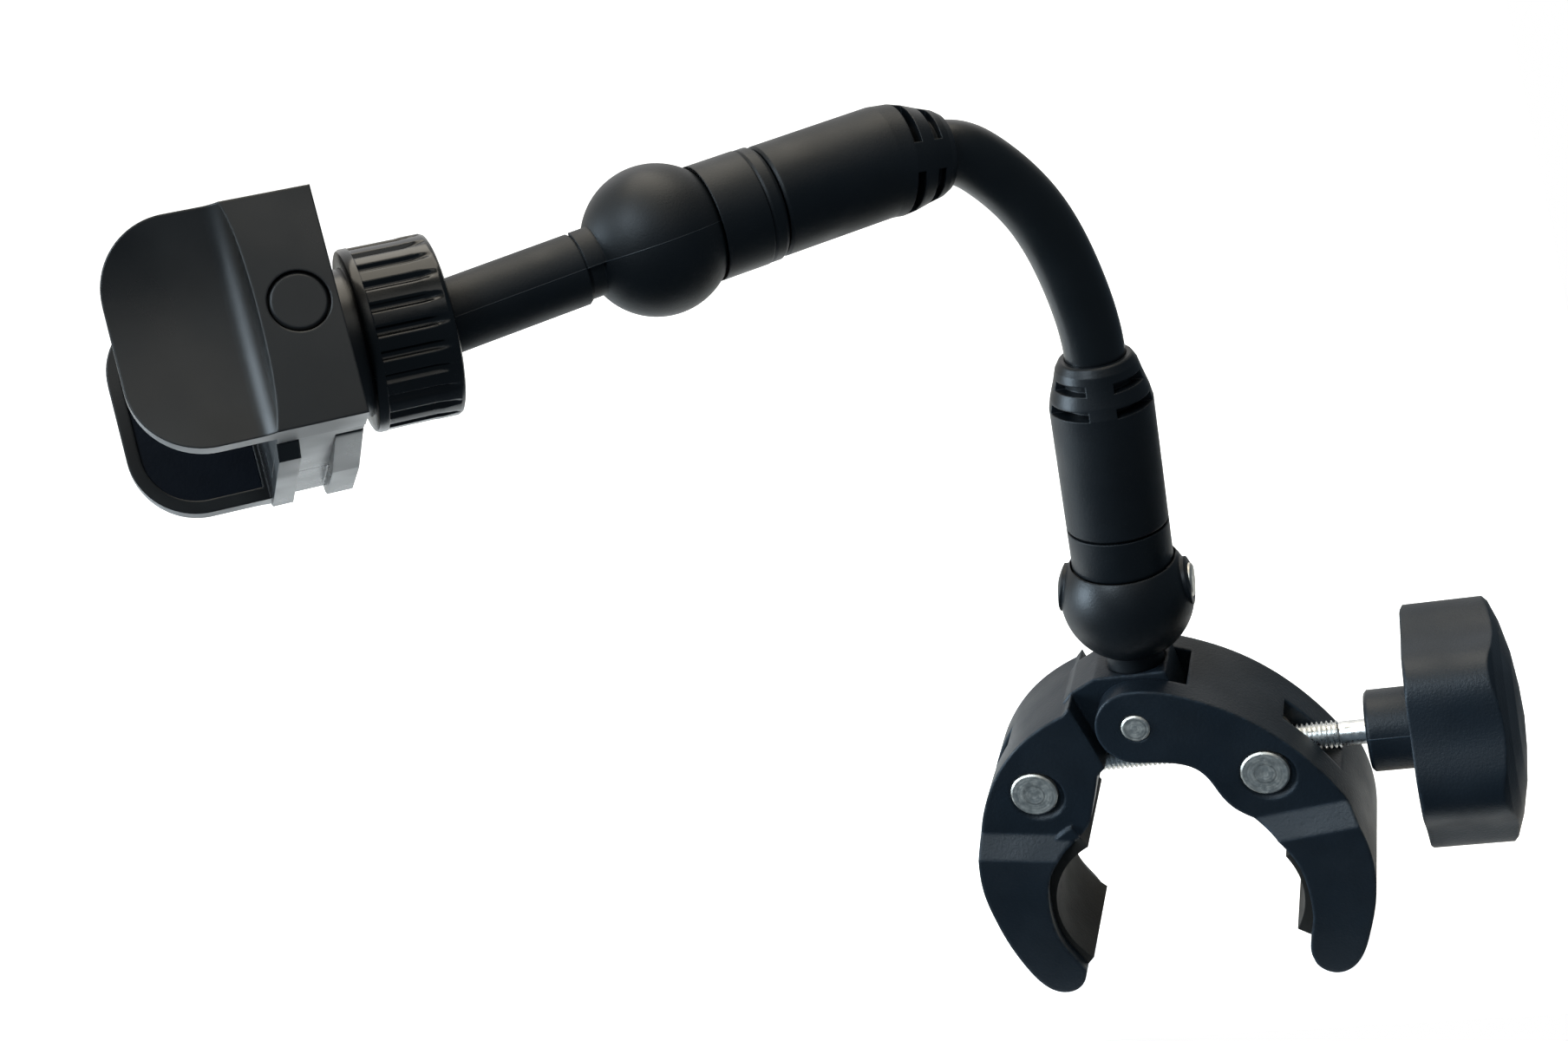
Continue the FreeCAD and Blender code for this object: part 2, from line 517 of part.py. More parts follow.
def plate(x0, x1, inset, longer=0):
    """Jaw plate with two rounded corners at the open end."""
    r = CORNER_R - inset
    y0, y1, z = SPINE_Y - 3 + inset, TIP_Y + longer - inset, CLIP_HALF_H - inset
    slab = box(x0, x1, y0, y1, -z, z)
    for side in (-1, 1):
        square = box(x0 - 1, x1 + 1, y1 - r, y1 + 1, z - r, z + 1)
        square = square.cut(cylinder(r, V(x0 - 2, y1 - r, z - r), V(x1 + 2, y1 - r, z - r)))
        if side < 0:
            square = square.mirror(V(), V(0, 0, 1))
        slab = slab.cut(square)
    return slab


def far_plate(x0, x1, inset):
    slab = plate(x0, x1, inset, FAR_JAW_LONGER)
    slab.translate(V(0, 0, -FAR_JAW_DROP))
    return slab


def scoop(face_x, side):
    """Shallow thumb hollow across the outside of a jaw plate, ending in a rounded wall."""
    y0 = SPINE_Y - SCOOP_BACK
    k = 5.0
    r = SCOOP_R
    rise = [arc((r - k, y0 + k), k, 0, -90)]
    rise += path([(r - k, y0), (0, y0), (0, y0 + 40), (r, y0 + 40), (r, y0 + k)])
    tool = Part.Face(Part.Wire(Part.__sortEdges__(rise))).revolve(V(), V(0, 0, 1), 360)
    tool.Placement = TO_Y
    tool.translate(V(face_x + side * (r - SCOOP_DEEP), 0, 0))
    return tool


spine = box(HOUSING_X0, PARTING_X - FIT, CLIP_BACK, SPINE_Y, -SPINE_HALF_H, SPINE_HALF_H)
boss = cylinder(BOSS_R, V(0, 0.8, 0), V(0, CLIP_BACK + 0.5, 0))
spine = spine.fuse(boss.cut(box(PARTING_X - FIT, 30, CLIP_BACK - FIT, 30, -30, 30)))
spine = spine.cut(Part.makeSphere(liner_r + BALL_RUN)).cut(rails(HOUSING_X0 - 1, FAR_X, SLIDE_GAP))
spine = spine.cut(cylinder(SPRING_R + 0.5, V(SPRING_X0 - FIT, CORE_Y, CORE_Z), V(FAR_X, CORE_Y, CORE_Z)))
keep("clip_spine", spine.cut(cylinder(ROD_R + RUN, V(NEAR_X, CORE_Y, CORE_Z), V(0, CORE_Y, CORE_Z))), CLIP)

far = box(PARTING_X, FAR_X, CLIP_BACK, SPINE_Y, -SPINE_HALF_H, SPINE_HALF_H)
far = far.fuse(far_plate(FAR_X - JAW_T, FAR_X, 0)).cut(scoop(FAR_X, 1))
for y0, y1, x0, x1 in ((SPINE_Y - 3.6, SPINE_Y, HOUSING_X0 + 1, HOUSING_X0 + 5),
                       (CLIP_BACK, CLIP_BACK + 4.6, HOUSING_X0 + 4, PARTING_X - 4)):
    low = SPINE_HALF_H + FIT
    rib = polygon_y([(x0, -low), (x1, -low - RIB_H), (FAR_X - 3.5, -low - RIB_H),
                     (FAR_X - 0.8, -low - RIB_H * 0.6), (FAR_X, -low), (FAR_X, -low + 3),
                     (PARTING_X, -low + 3), (PARTING_X, -low)], (y1 - y0) / 2)
    rib.translate(V(0, (y0 + y1) / 2, 0))
    far = far.fuse(rib).fuse(rib.mirror(V(), V(0, 0, 1)))
far = far.cut(rails(0, RAIL_X1 + 1.2, SLIDE_GAP))
far = far.cut(cylinder(SPRING_R + 0.5, V(0, CORE_Y, CORE_Z), V(ROD_X1 + 0.6, CORE_Y, CORE_Z)))
pocket = far_plate(FAR_X - JAW_T - 2, FAR_X - JAW_T + PAD_DEEP, PAD_RIM)
far = far.cut(pocket.cut(box(-90, 90, 0, SPINE_Y + 1, -90, 90)))
keep("far_jaw", far, CLIP)
pad = far_plate(FAR_X - JAW_T + 0.35, FAR_X - JAW_T + PAD_DEEP - FIT, PAD_RIM + FIT)
keep("far_jaw_pad", pad.cut(box(-90, 90, 0, SPINE_Y + 1 + FIT, -90, 90)), CLIP)

near_in = HOUSING_X0 - SLIDE_GAP
near = box(NEAR_X, near_in, CLIP_BACK, SPINE_Y, -CLIP_HALF_H, CLIP_HALF_H)
near = near.fuse(plate(NEAR_X, NEAR_X + JAW_T, 0))
near = near.cut(scoop(NEAR_X, -1)).fuse(rails(near_in - 3, RAIL_X1, 0))
near = near.cut(cylinder(PLUG_R + PLUG_GAP, V(NEAR_X - 1, CORE_Y, CORE_Z), V(NEAR_X + 2.5, CORE_Y, CORE_Z)))
near = near.cut(cylinder(ROD_HEAD_R + FIT, V(NEAR_X, CORE_Y, CORE_Z), V(NEAR_X + 4.5, CORE_Y, CORE_Z)))
near = near.cut(cylinder(ROD_R + FIT, V(NEAR_X, CORE_Y, CORE_Z), V(0, CORE_Y, CORE_Z)))
inside = NEAR_X + JAW_T
near = near.cut(plate(inside - PAD_DEEP, inside + 2, PAD_RIM).cut(box(-90, 90, 0, SPINE_Y + 1, -90, 90)))
keep("near_jaw", near, CLIP)
pad = plate(inside - PAD_DEEP + FIT, inside - 0.35, PAD_RIM + FIT)
keep("near_jaw_pad", pad.cut(box(-90, 90, 0, SPINE_Y + 1 + FIT, -90, 90)), CLIP)

CORE = FreeCAD.Placement(V(0, CORE_Y, CORE_Z), ALONG_X)
plug = turned([(0, NEAR_X + 0.12), (PLUG_R - 0.4, NEAR_X + 0.12), (PLUG_R, NEAR_X + 0.5),
               (PLUG_R, NEAR_X + 2.47), (0, NEAR_X + 2.47)])
plug.Placement = CORE
keep("near_jaw_plug", plug, CLIP)
rod = turned([(0, NEAR_X + 2.55), (ROD_HEAD_R, NEAR_X + 2.55), (ROD_HEAD_R, NEAR_X + 4.47),
              (ROD_R, NEAR_X + 4.47), (ROD_R, ROD_X1), (0, ROD_X1)])
rod.Placement = CORE
keep("guide_rod", rod, CLIP)
stop = turned([(ROD_R + FIT, ROD_X1 - 2), (SPRING_R + 0.2, ROD_X1 - 2), (SPRING_R + 0.2, ROD_X1),
               (ROD_R + FIT, ROD_X1)])
stop.Placement = CORE
keep("spring_stop", stop, CLIP)
coil = turned([(SPRING_R - 0.8, SPRING_X0 + FIT), (SPRING_R, SPRING_X0 + FIT), (SPRING_R, ROD_X1 - 2 - FIT),
               (SPRING_R - 0.8, ROD_X1 - 2 - FIT)])
coil.Placement = CORE
keep("return_spring", coil, CLIP)

os.makedirs("parts", exist_ok=True)
for name, shape in PARTS.items():
    shape.exportStep("parts/" + name + ".step")
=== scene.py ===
import json
import math

import bmesh
import bpy
from mathutils import Matrix, Vector


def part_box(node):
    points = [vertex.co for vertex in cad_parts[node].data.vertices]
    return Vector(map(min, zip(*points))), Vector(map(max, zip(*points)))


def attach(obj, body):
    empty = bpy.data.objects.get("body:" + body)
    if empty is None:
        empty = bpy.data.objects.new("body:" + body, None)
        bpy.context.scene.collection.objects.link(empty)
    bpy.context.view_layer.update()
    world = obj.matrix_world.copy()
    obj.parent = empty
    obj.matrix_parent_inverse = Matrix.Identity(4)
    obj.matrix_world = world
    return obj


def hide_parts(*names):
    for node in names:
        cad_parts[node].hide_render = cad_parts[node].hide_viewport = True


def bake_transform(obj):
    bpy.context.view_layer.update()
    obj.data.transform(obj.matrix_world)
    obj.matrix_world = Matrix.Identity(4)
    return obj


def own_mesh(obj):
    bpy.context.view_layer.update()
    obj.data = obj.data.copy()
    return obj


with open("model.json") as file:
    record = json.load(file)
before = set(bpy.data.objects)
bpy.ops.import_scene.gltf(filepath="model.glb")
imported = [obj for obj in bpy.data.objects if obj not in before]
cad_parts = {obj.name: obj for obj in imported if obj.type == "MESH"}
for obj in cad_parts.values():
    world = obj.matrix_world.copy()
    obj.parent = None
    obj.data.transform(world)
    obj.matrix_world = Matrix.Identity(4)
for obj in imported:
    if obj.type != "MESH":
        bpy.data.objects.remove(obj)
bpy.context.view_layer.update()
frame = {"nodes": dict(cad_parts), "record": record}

NODES = frame["nodes"]
MM = 0.001
FULL_TURN = 2 * math.pi
X_AXIS = Vector((1.0, 0.0, 0.0))
Y_AXIS = Vector((0.0, 1.0, 0.0))

# Places repeated from the part's source, in metres
HINGE = Vector((7.554, 0.0, 42.839)) * MM
SCREW_CENTRE = Vector((HINGE.x, 0.0, HINGE.z - 13.5 * MM))
UPPER_BALL = HINGE + Vector((-58.26, -47.93, 130.0)) * MM
STEM_OUT = Vector((-0.7826, -0.6225, 0.004)).normalized()
SMALL_BALL = UPPER_BALL + STEM_OUT * 46.7 * MM
KNOB_X = HINGE.x + 54.4 * MM

# Directions of the phone clip: away from the arm, up, and the way its jaw slides
CLIP_OUT = Vector((-0.8182, -0.5592, 0.1315)).normalized()
CLIP_UP = Vector((-0.1644, 0.4465, 0.8796)).normalized()
CLIP_ALONG = CLIP_OUT.cross(CLIP_UP).normalized()
CLIP_UP_AT_STEM = (CLIP_UP - STEM_OUT * CLIP_UP.dot(STEM_OUT)).normalized()

# Sizes repeated from the part's source, in millimetres
NUT_R = 16.0
BOSS_R = 12.9
STEM_R = 6.55

# Camera: its place in metres, its own directions and its lens
EYE = HINGE + Vector((83.99, -416.14, 232.19)) * MM
CAMERA_RIGHT = Vector((0.94018, 0.23190, -0.24958))
CAMERA_DOWN = Vector((-0.12968, -0.43382, -0.89162))
CAMERA_AHEAD = Vector((-0.31504, 0.87064, -0.37780))
SENSOR_MM = 36.0
LENS_MM = 51.77

# Floor: its edges and height in metres, and its tones
FLOOR_SIZE = 8.0
FLOOR_RIGHT = 0.11
FLOOR_FRONT = -0.025
FLOOR_Z = -26.0 * MM
FLOOR_TONES = [(0.2, (0.86, 0.86, 0.86)), (0.8, (0.89, 0.89, 0.89))]
FLOOR_SEEN = 0.85
FLOOR_IN_GLOSS = 0.08

# World: the way to the brighter side of the room and to the white background
WHITE = (1.0, 1.0, 1.0, 1.0)
ROOM_WAY = (-0.60, 0.35, 0.72)
ROOM_TONES = [(0.0, (0.09, 0.12, 0.15)), (0.75, (0.46, 0.43, 0.36))]
BACK_WAY = (-0.30, 0.88, 0.37)
BACK_FROM, BACK_FULL = 0.55, 1.05

# Lamps: place and size in metres, power in watts, and colour
LAMP_TARGET = Vector((0.0, -0.02, 0.09))
LAMPS = {
    "key": ((-0.28, -0.57, 0.80), (0.40, 0.40), 5.0, (0.74, 0.88, 1.0)),
    "left": ((-0.76, -0.24, 0.27), (0.30, 0.40), 7.5, (0.68, 0.85, 1.0)),
    "top": ((0.02, 0.22, 0.92), (0.70, 0.70), 4.5, (1.0, 0.93, 0.80)),
    "fill": ((0.42, -0.46, 0.86), (0.50, 0.40), 0.6, (1.0, 0.97, 0.90)),
}

# Scales of the materials' noise, and sizes of their relief in millimetres
# The third scale sets the patches along edges that are lightened as wear and as a painted highlight.
CLOUD_SCALE, SMUDGE_SCALE, WEAR_AND_HIGHLIGHT_SCALE = 90.0, 55.0, 420.0
PLATING_SCALE, PLATING_GRAIN, PLATING_HAZE = 520.0, 1600.0, 900.0
SEAM_RISE = 0.07
RING_PITCH, RING_DEEP = 0.62, 0.012
MARK_R, MARK_HALF_W = 2.2, 0.28

# Darkest and lightest tone of each material
ARM = ((0.0020, 0.0034, 0.0048), (0.0040, 0.0060, 0.0082))
BLACK = ((0.0046, 0.0088, 0.0136), (0.0076, 0.0134, 0.0200))
CLIP = ((0.0040, 0.0044, 0.0048), (0.0078, 0.0082, 0.0084))
SHEATH = ((0.0018, 0.0028, 0.0036), (0.0034, 0.0048, 0.0060))
NUT = ((0.0012, 0.0020, 0.0028), (0.0026, 0.0038, 0.0050))
LINER = ((0.022, 0.023, 0.025), (0.036, 0.037, 0.040))
JAW_PAD = ((0.0170, 0.0160, 0.0140), (0.0290, 0.0275, 0.0245))
PHONE_PAD = ((0.0018, 0.0034, 0.0066), (0.0036, 0.0062, 0.0108))
ZINC = ((0.54, 0.52, 0.47), (0.82, 0.79, 0.72))
SCREW = ((0.70, 0.71, 0.70), (0.88, 0.89, 0.88))


# Materials

class Nodes:
    """Small helper that adds nodes to the tree of a material or world and links them."""

    def __init__(self, owner, coords="Object"):
        owner.use_nodes = True
        self.tree = owner.node_tree
        self.shader = self.tree.nodes.get("Principled BSDF")
        self.coords = self.add("ShaderNodeTexCoord").outputs[coords]
        self.normal = None

    def add(self, kind, **values):
        node = self.tree.nodes.new(kind)
        for key, value in values.items():
            if hasattr(node, key):
                setattr(node, key, value)
            else:
                node.inputs[key.replace("_", " ")].default_value = value
        return node

    def link(self, output, target):
        self.tree.links.new(output, target)

    def noise(self, scale, detail=3.0, rough=0.55):
        node = self.add("ShaderNodeTexNoise", Scale=scale, Detail=detail, Roughness=rough)
        self.link(self.coords, node.inputs["Vector"])
        return node.outputs["Fac"]

    def ramp(self, source, stops):
        node = self.add("ShaderNodeValToRGB")
        for point, (place, colour) in zip(node.color_ramp.elements, stops):
            point.position = place
            point.color = (*colour, 1.0)
        self.link(source, node.inputs["Fac"])
        return node.outputs["Color"]

    def span(self, source, low, high, start=0.0, end=1.0):
        """Goes smoothly from low to high while the source goes from start to end."""
        node = self.add("ShaderNodeMapRange", interpolation_type="SMOOTHSTEP")
        for socket, value in (("From Min", start), ("From Max", end), ("To Min", low), ("To Max", high)):
            node.inputs[socket].default_value = value
        self.link(source, node.inputs["Value"])
        return node.outputs["Result"]

    def math(self, operation, first, second=None):
        node = self.add("ShaderNodeMath", operation=operation)
        for socket, value in zip(node.inputs, (first, second)):
            if isinstance(value, (int, float)):
                socket.default_value = value
            elif value is not None:
                self.link(value, socket)
        return node.outputs["Value"]

    def vector(self, operation, first, second):
        node = self.add("ShaderNodeVectorMath", operation=operation)
        for socket, value in zip(node.inputs, (first, second)):
            if isinstance(value, (tuple, Vector)):
                socket.default_value = value
            else:
                self.link(value, socket)
        return node.outputs["Value" if operation in ("DOT_PRODUCT", "LENGTH") else "Vector"]

    def mix(self, factor, source, colour):
        node = self.add("ShaderNodeMix", data_type="RGBA")
        self.link(factor, node.inputs["Factor"])
        self.link(source, node.inputs[6])
        node.inputs[7].default_value = (*colour, 1.0)
        return node.outputs[2]

    def bump(self, source, distance, strength=1.0):
        """Adds one layer of relief over the layers before it."""
        node = self.add("ShaderNodeBump", Strength=strength, Distance=distance)
        self.link(source, node.inputs["Height"])
        if self.normal:
            self.link(self.normal, node.inputs["Normal"])
        self.normal = node.outputs["Normal"]
        self.link(self.normal, self.shader.inputs["Normal"])

    def round_edges(self, radius):
        """Softens edges, and returns how close a point is to one."""
        node = self.add("ShaderNodeBevel", samples=6, Radius=radius)
        self.normal = node.outputs["Normal"]
        flat = self.add("ShaderNodeNewGeometry").outputs["Normal"]
        return self.span(self.vector("DOT_PRODUCT", self.normal, flat), 1.0, 0.0, 0.80, 0.99)

    def past(self, point, normal):
        """How far a point of the surface is beyond a plane."""
        return self.vector("DOT_PRODUCT", self.vector("SUBTRACT", self.coords, point), normal)

    def line(self, point, normal, half_width, stop=None):
        """A mould parting line, where a plane cuts the surface, as far as the stop in X."""
        ridge = self.span(self.math("ABSOLUTE", self.past(point, normal)), 1.0, 0.0, 0.0, half_width)
        if stop is None:
            return ridge
        here = self.span(self.past(X_AXIS * stop, X_AXIS), 1.0, 0.0, 0.0, 0.2 * MM)
        return self.math("MULTIPLY", ridge, here)


def plastic(name, dark, light, rough, grain, deep, gloss=0.35, rounding=0.35, seam=None, matte=None):
    """Moulded plastic with grain, handling marks, edges lightened partly as wear and partly as a painted
    edge highlight, and an optional parting line.
    """
    material = bpy.data.materials.new(name)
    n = Nodes(material)
    colour = n.ramp(n.noise(CLOUD_SCALE, 4.0), [(0.3, dark), (0.7, light)])
    smudge = n.noise(SMUDGE_SCALE, 2.0, 0.5)
    rub = n.span(smudge, rough - 0.07, rough + 0.09, 0.3, 0.7)
    if rounding:
        edge = n.round_edges(rounding * MM)
        # Lighter patches along the edges: partly wear, partly a painted highlight where the edges catch the
        # light.
        wear_and_highlight = n.math("MULTIPLY", edge, n.span(n.noise(WEAR_AND_HIGHLIGHT_SCALE, 3.0), 0.05, 0.75, 0.35, 0.65))
        colour = n.mix(wear_and_highlight, colour, [3.2 * c + 0.004 for c in light])
    n.bump(n.noise(grain, 2.0, 0.6), deep * MM, 0.55)
    if seam:
        ridge = n.line(*seam)
        colour = n.mix(n.math("MULTIPLY", ridge, 0.6), colour, [4.0 * c for c in light])
        n.bump(ridge, SEAM_RISE * MM, 0.8)
    if matte:
        rub = n.math("MAXIMUM", rub, n.span(n.past(*matte), 0.0, 0.95, 0.0, 0.3 * MM))
    n.link(colour, n.shader.inputs["Base Color"])
    n.link(rub, n.shader.inputs["Roughness"])
    n.shader.inputs["Specular IOR Level"].default_value = gloss
    return material


def steel(name, dark, light, rough, rings=None):
    """Zinc-plated steel: dull cloudy plating, with turning rings about a pin's own axis."""
    material = bpy.data.materials.new(name)
    n = Nodes(material)
    n.round_edges(0.25 * MM)
    colour = n.ramp(n.noise(PLATING_SCALE, 4.0, 0.6), [(0.3, dark), (0.72, light)])
    if rings:
        flat = n.vector("MULTIPLY", n.vector("SUBTRACT", n.coords, rings), (1.0, 0.0, 1.0))
        reach = n.vector("LENGTH", flat, (0.0, 0.0, 0.0))
        wave = n.math("SINE", n.math("MULTIPLY", reach, FULL_TURN / (RING_PITCH * MM)))
        n.bump(wave, RING_DEEP * MM, 0.6)
        off_mark = n.math("ABSOLUTE", n.math("SUBTRACT", reach, MARK_R * MM))
        mark = n.span(off_mark, 0.55, 0.0, 0.0, MARK_HALF_W * MM)
        colour = n.mix(mark, colour, [0.45 * c for c in dark])
    n.bump(n.noise(PLATING_GRAIN, 2.0), 0.02 * MM, 0.35)
    haze = n.span(n.noise(PLATING_HAZE, 2.0), rough - 0.08, rough + 0.12, 0.3, 0.7)
    n.link(colour, n.shader.inputs["Base Color"])
    n.link(haze, n.shader.inputs["Roughness"])
    n.shader.inputs["Metallic"].default_value = 1.0
    return material


LOOKS = {
    "black_plastic": plastic("black_plastic", *ARM, rough=0.43, grain=2400.0, deep=0.05),
    "nut_plastic": plastic("nut_plastic", *NUT, rough=0.24, grain=1200.0, deep=0.015,
                           gloss=0.42, rounding=0.25),
    "sheath": plastic("sheath", *SHEATH, rough=0.36, grain=900.0, deep=0.03, gloss=0.45, rounding=0.0),
    "liner_plastic": plastic("liner_plastic", *LINER, rough=0.45, grain=1500.0, deep=0.03),
    "jaw_rubber": plastic("jaw_rubber", *JAW_PAD, rough=0.64, grain=1600.0, deep=0.09,
                          gloss=0.2, rounding=0.3),
    "pad_rubber": plastic("pad_rubber", *PHONE_PAD, rough=0.60, grain=1600.0, deep=0.09,
                          gloss=0.1, rounding=0.3),
    "zinc_steel": steel("zinc_steel", *ZINC, rough=0.46),
    "bright_screw": steel("bright_screw", *SCREW, rough=0.28),
}


def paint(obj, material):
    obj.data.materials.clear()
    obj.data.materials.append(material)


def middle(node):
    low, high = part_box(node)
    return (Vector(low) + Vector(high)) / 2


def paint_nodes():
    """Each node gets its slot's material, and some get one that is fitted to them."""
    for part in frame["record"]["subparts"]:
        paint(NODES[part["node"]], LOOKS[part["material_slot"]])
    for pin in ("left_barrel_nut", "right_barrel", "hinge_pin"):
        paint(NODES[pin], steel(pin + "_zinc", *ZINC, rough=0.46, rings=middle(pin)))
    for jaw in ("left_jaw", "right_jaw"):
        look = plastic(jaw + "_plastic", *BLACK, rough=0.46, grain=1700.0, deep=0.16, rounding=1.1)
        paint(NODES[jaw], look)
    for piece in ("near_jaw", "near_jaw_plug", "far_jaw", "clip_spine"):
        look = plastic(piece + "_plastic", *CLIP, rough=0.33, grain=2100.0, deep=0.006,
                       gloss=0.5, rounding=0.45)
        paint(NODES[piece], look)
    stem_seam = (UPPER_BALL, Vector((-0.1169, 0.1532, 0.9813)), 0.16 * MM)
    look = plastic("stem_plastic", *ARM, rough=0.45, grain=2400.0, deep=0.05, seam=stem_seam)
    paint(NODES["upper_ball_stem"], look)
    hub_seam = (SCREW_CENTRE, Vector((0.0, 0.30, 0.954)), 0.18 * MM, KNOB_X)
    knob_end = (X_AXIS * (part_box("clamp_knob")[1][0] - 0.35 * MM), X_AXIS)
    look = plastic("knob_plastic", *BLACK, rough=0.43, grain=1900.0, deep=0.12, rounding=0.8,
                   seam=hub_seam, matte=knob_end)
    paint(NODES["clamp_knob"], look)


# Pieces that the scene shapes

def mesh_object(name, bm, slot):
    data = bpy.data.meshes.new(name)
    bm.to_mesh(data)
    bm.free()
    data.shade_smooth()
    data.set_sharp_from_angle(angle=math.radians(38))
    obj = bpy.data.objects.new(name, data)
    bpy.context.scene.collection.objects.link(obj)
    paint(obj, LOOKS[slot])
    return obj


def skinned(loops, ring=False):
    """Closed mesh through loops of points, with a cap at each end or joined into a ring."""
    bm = bmesh.new()
    rows = [[bm.verts.new(point) for point in loop] for loop in loops]
    for low, high in zip(rows, rows[1:] + (rows[:1] if ring else [])):
        for k in range(len(low)):
            after = (k + 1) % len(low)
            bm.faces.new((low[k], high[k], high[after], low[after]))
    if not ring:
        bm.faces.new(rows[0])
        bm.faces.new(rows[-1][::-1])
    bmesh.ops.recalc_face_normals(bm, faces=bm.faces)
    return bm


def turned(profile, centre, axis, spoke, sides):
    """Loops about an axis from (distance, radius) pairs; a radius may depend on the angle."""
    other = axis.cross(spoke).normalized()
    loops = []
    for distance, radius in profile:
        loop = []
        for k in range(sides):
            a = FULL_TURN * k / sides
            r = radius(a) if callable(radius) else radius
            loop.append(centre + (axis * distance + (spoke * math.cos(a) + other * math.sin(a)) * r) * MM)
        loops.append(loop)
    return loops


def threaded_screw():
    """The clamp screw with its rolled thread, one millimetre a turn."""
    crest, root, pitch, per_turn, sides = 2.95, 2.42, 1.0, 7, 20
    first, last = -32.4, 39.4
    shank_r, shank_end, head_r, head_end = 2.6, 60.0, 4.4, 64.0
    crest_reach, flank_slope = 1.25, 3.4

    def thread(x):
        def radius(a):
            phase = (x / pitch - a / FULL_TURN) % 1.0
            flank = min(1.0, max(0.0, crest_reach - abs(phase - 0.5) * flank_slope))
            return root + (crest - root) * flank
        return radius

    rings = [(first - 0.6, 1.9), (first - 0.2, 2.4)]
    for i in range(int((last - first) * per_turn) + 1):
        rings.append((first + i / per_turn, thread(first + i / per_turn)))
    rings += [(last + 0.5, shank_r), (shank_end, shank_r), (shank_end, head_r), (head_end, head_r)]
    loops = turned(rings, SCREW_CENTRE, X_AXIS, Y_AXIS, sides)
    obj = mesh_object("clamp_screw_thread", skinned(loops), "bright_screw")
    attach(obj, "knob")
    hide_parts("clamp_screw")


def fluted_nut():
    """The lock nut, with flutes that run out towards the arm."""
    front, back, sides = -5.0, 10.4, 480
    mouth, lip, bore, seat = 8.95, 9.5, 8.6, BOSS_R + 0.1
    flutes, cutter, first_turn, rings = 24, 0.85, 0.3, 12
    shallow, deep, run_out = 0.02, 0.95, 3.6

    def flute(depth):
        def radius(a):
            turn = (a * flutes / FULL_TURN - first_turn + 0.5) % 1.0 - 0.5
            off = NUT_R * turn * FULL_TURN / flutes
            return NUT_R - max(0.0, math.sqrt(max(0.0, cutter ** 2 - off ** 2)) - cutter + depth)
        return radius

    profile = [(front + 0.6, mouth), (front, lip), (front, NUT_R - 1.0), (front + 0.3, NUT_R - 0.3),
               (front + 0.95, NUT_R)]
    first, last = front + 1.0, back - 2.0
    for i in range(rings + 1):
        share = i / rings
        depth = shallow + (deep - shallow) * min(1.0, share * run_out)
        profile.append((first + (last - first) * share, flute(depth)))
    profile += [(back - 1.9, NUT_R), (back - 0.7, NUT_R), (back - 0.2, NUT_R - 0.25), (back, NUT_R - 0.7),
                (back, seat), (0.6, seat), (0.6, bore), (-3.5, bore)]
    loops = turned(profile, SMALL_BALL, CLIP_OUT, CLIP_ALONG, sides)
    obj = mesh_object("lock_nut_flutes", skinned(loops, ring=True), "nut_plastic")
    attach(obj, "lock_nut")
    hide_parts("lock_nut")


def stem_root():
    """The stem's full width carried on to the small ball, inside the nut's mouth."""
    start, end, sides = -9.9, -5.2, 64
    end_r = STEM_R - 0.25
    profile = [(start, end_r), (start + 0.3, STEM_R), (end - 0.5, STEM_R), (end, end_r)]
    loops = turned(profile, SMALL_BALL, STEM_OUT, CLIP_UP_AT_STEM, sides)
    obj = mesh_object("stem_root", skinned(loops), "black_plastic")
    paint(obj, NODES["upper_ball_stem"].data.materials[0])
    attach(obj, "stem")


def bending_neck():
    """The gooseneck's sheath between the two sleeves, kept in one bent shape as a smooth-shaded mesh."""
    bm = bmesh.new()
    bm.from_mesh(NODES["gooseneck_sheath"].data)
    bmesh.ops.remove_doubles(bm, verts=bm.verts, dist=1e-6)
    obj = mesh_object("gooseneck_skin", bm, "sheath")
    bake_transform(obj)
    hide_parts("gooseneck_sheath")


def coil_spring():
    """The clip's return spring, built at one length on the clip; the real spring is squeezed as the near jaw
    is drawn out.
    """
    start, end, turns, steps = -19.3, 19.8, 15, 18
    coil_r, wire_r, wire_sides, end_gap = 2.7, 0.36, 8, 0.45
    rod = CLIP_OUT * 21.05 + CLIP_UP * 0.8
    wire = [FULL_TURN * k / wire_sides for k in range(wire_sides)]
    loops = []
    for i in range(turns * steps + 1):
        a = FULL_TURN * i / steps
        spoke = CLIP_OUT * math.cos(a) + CLIP_UP * math.sin(a)
        along = start + end_gap + (end - start - 2 * end_gap) * i / (turns * steps)
        centre = SMALL_BALL + (CLIP_ALONG * along + rod + spoke * coil_r) * MM
        loops.append([centre + (spoke * math.cos(b) + CLIP_ALONG * math.sin(b)) * wire_r * MM for b in wire])
    obj = mesh_object("return_spring_coil", skinned(loops), "zinc_steel")
    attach(obj, "clip")
    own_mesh(obj)
    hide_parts("return_spring")


# Camera, stage and light

def add_camera():
    """The camera, at the photograph's viewing angle."""
    data = bpy.data.cameras.new("camera")
    data.sensor_fit = "HORIZONTAL"
    data.sensor_width = SENSOR_MM
    data.lens = LENS_MM
    data.clip_start = 0.01
    data.clip_end = 20.0
    cam = bpy.data.objects.new("camera", data)
    bpy.context.scene.collection.objects.link(cam)
    turn = Matrix((CAMERA_RIGHT, -CAMERA_DOWN, -CAMERA_AHEAD)).transposed().to_4x4()
    cam.matrix_world = Matrix.Translation(EYE) @ turn
    bpy.context.scene.camera = cam


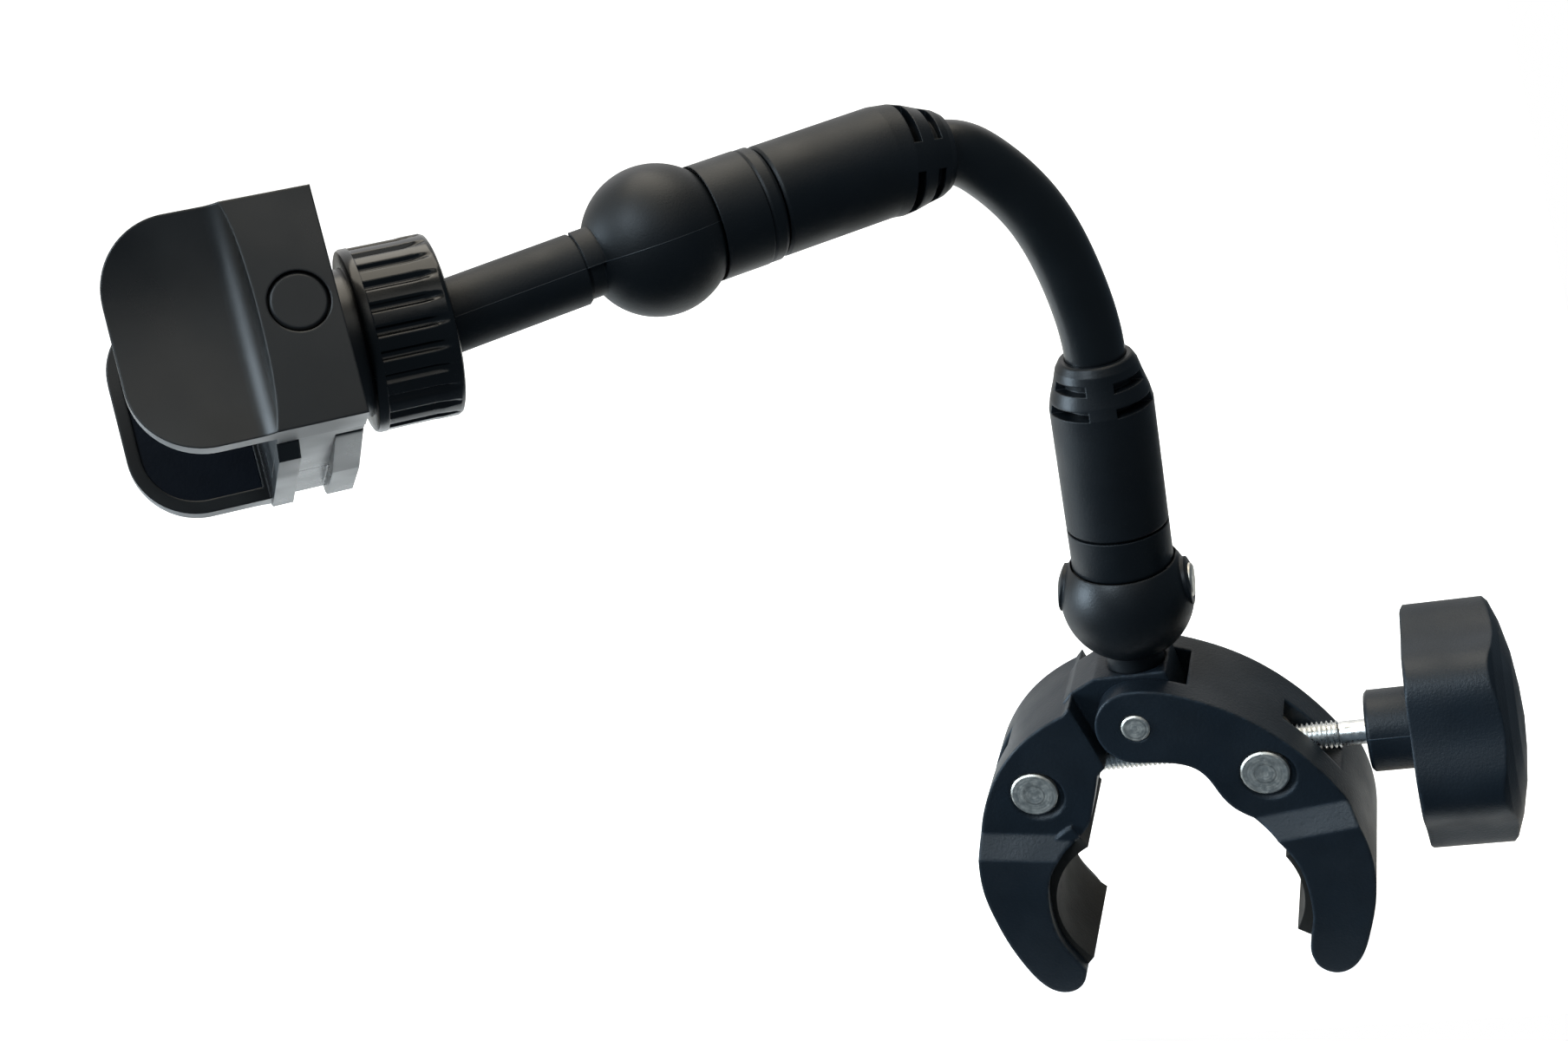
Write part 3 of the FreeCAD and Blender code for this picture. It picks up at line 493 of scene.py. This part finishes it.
def add_floor():
    """A pale table top, with the object near its front right corner."""
    place = (FLOOR_RIGHT - FLOOR_SIZE / 2, FLOOR_FRONT + FLOOR_SIZE / 2, FLOOR_Z)
    bpy.ops.mesh.primitive_plane_add(size=FLOOR_SIZE, location=place)
    floor = bpy.context.object
    floor.name = "floor"
    material = bpy.data.materials.new("floor_white")
    n = Nodes(material)
    n.link(n.ramp(n.noise(3.0), FLOOR_TONES), n.shader.inputs["Base Color"])
    n.shader.inputs["Roughness"].default_value = 0.9
    n.shader.inputs["Specular IOR Level"].default_value = 0.05
    path = n.add("ShaderNodeLightPath").outputs
    seen = n.math("MAXIMUM", path["Is Camera Ray"], path["Is Transmission Ray"])
    in_gloss = n.math("MULTIPLY", path["Is Glossy Ray"], FLOOR_IN_GLOSS)
    shown = n.math("MAXIMUM", n.math("MULTIPLY", seen, FLOOR_SEEN), in_gloss)
    n.shader.inputs["Emission Color"].default_value = WHITE
    n.link(shown, n.shader.inputs["Emission Strength"])
    floor.data.materials.append(material)


def add_world():
    """A soft room, dim and cool in front, with a plain white background that gloss shows too."""
    world = bpy.data.worlds.new("studio")
    n = Nodes(world, "Generated")
    room = n.tree.nodes["Background"]
    n.link(n.ramp(n.vector("DOT_PRODUCT", n.coords, ROOM_WAY), ROOM_TONES), room.inputs["Color"])
    white = n.add("ShaderNodeBackground", Color=WHITE)
    behind = n.span(n.vector("DOT_PRODUCT", n.coords, BACK_WAY), 0.0, 1.0, BACK_FROM, BACK_FULL)
    path = n.add("ShaderNodeLightPath").outputs
    in_gloss = n.math("MULTIPLY", path["Is Glossy Ray"], behind)
    seen = n.math("MAXIMUM", path["Is Camera Ray"], path["Is Transmission Ray"])
    both = n.add("ShaderNodeMixShader")
    n.link(n.math("MAXIMUM", seen, in_gloss), both.inputs["Fac"])
    n.link(room.outputs["Background"], both.inputs[1])
    n.link(white.outputs["Background"], both.inputs[2])
    n.link(both.outputs["Shader"], n.tree.nodes["World Output"].inputs["Surface"])
    bpy.context.scene.world = world


def add_light(name, place, size, power, colour):
    data = bpy.data.lights.new(name, "AREA")
    data.shape = "RECTANGLE"
    data.size, data.size_y = size
    data.energy = power
    data.color = colour
    lamp = bpy.data.objects.new(name, data)
    bpy.context.scene.collection.objects.link(lamp)
    lamp.location = place
    lamp.rotation_euler = (LAMP_TARGET - Vector(place)).to_track_quat("-Z", "Y").to_euler()


paint_nodes()
threaded_screw()
fluted_nut()
stem_root()
bending_neck()
coil_spring()
add_camera()
add_floor()
add_world()
for lamp_name, lamp in LAMPS.items():
    add_light(lamp_name, *lamp)
bpy.context.scene.view_settings.view_transform = "Standard"
